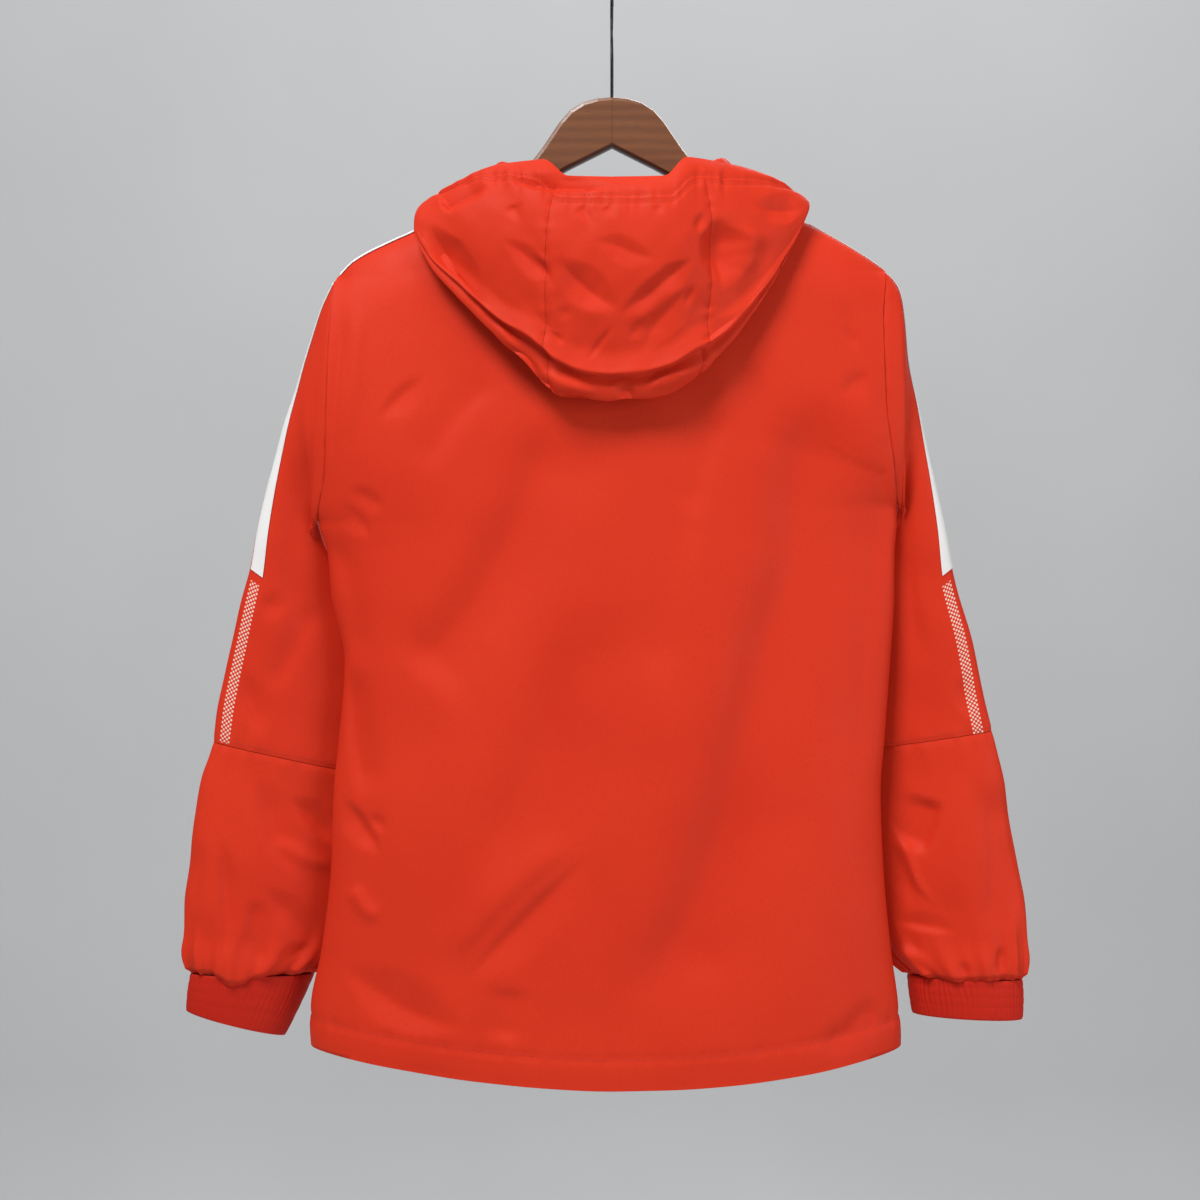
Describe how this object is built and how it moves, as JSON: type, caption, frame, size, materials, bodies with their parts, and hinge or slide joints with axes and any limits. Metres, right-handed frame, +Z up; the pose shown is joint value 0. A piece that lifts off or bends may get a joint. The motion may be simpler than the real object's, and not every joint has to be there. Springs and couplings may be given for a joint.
{
  "type": "hooded windbreaker on a hanger",
  "caption": "Light hooded windbreaker with a full front zip, two-part sleeves and gathered cuffs, hung flat on a wooden hanger with a wire hook.",
  "frame": {"origin": "the inner top of the hanger's hook, where it lies on a rail", "axes": "+Z up, +Y out of the garment's front, -X the wearer's left"},
  "size_m": [0.6997, 0.1451, 0.9006],
  "materials": {
    "shell_fabric": "matt woven polyester with a faint sheen",
    "cuff_fabric": "matt woven polyester, shirred with elastic",
    "strip_fabric": "matt woven polyester",
    "zip_tape": "woven tape with moulded plastic teeth",
    "zip_metal": "satin",
    "hanger_wood": "satin varnish",
    "hook_wire": "black, slightly glossy"
  },
  "bodies": {
    "garment": {"back": "shell_fabric", "front_left": "shell_fabric", "front_right": "shell_fabric", "sleeve_upper_left": "shell_fabric", "sleeve_lower_left": "shell_fabric", "cuff_left": "cuff_fabric", "sleeve_strip_left": "strip_fabric", "shoulder_strip_left": "strip_fabric", "sleeve_upper_right": "shell_fabric", "sleeve_lower_right": "shell_fabric", "cuff_right": "cuff_fabric", "sleeve_strip_right": "strip_fabric", "shoulder_strip_right": "strip_fabric", "hood_left": "shell_fabric", "hood_center": "shell_fabric", "hood_right": "shell_fabric", "hood_rim": "shell_fabric", "zip_tape_left": "zip_tape", "zip_tape_right": "zip_tape", "zip_slider": "zip_metal", "hanger_left": "hanger_wood", "hanger_right": "hanger_wood", "hanger_hook": "hook_wire"},
    "pull_tab": {"zip_pull": "zip_metal"}
  },
  "joints": [
    {"name": "zip_pull", "type": "hinge", "parent": "garment", "child": "pull_tab", "pos_m": [0, 0.02787, -0.262], "axis": [1, 0, 0], "range_deg": [0, 140]}
  ]
}
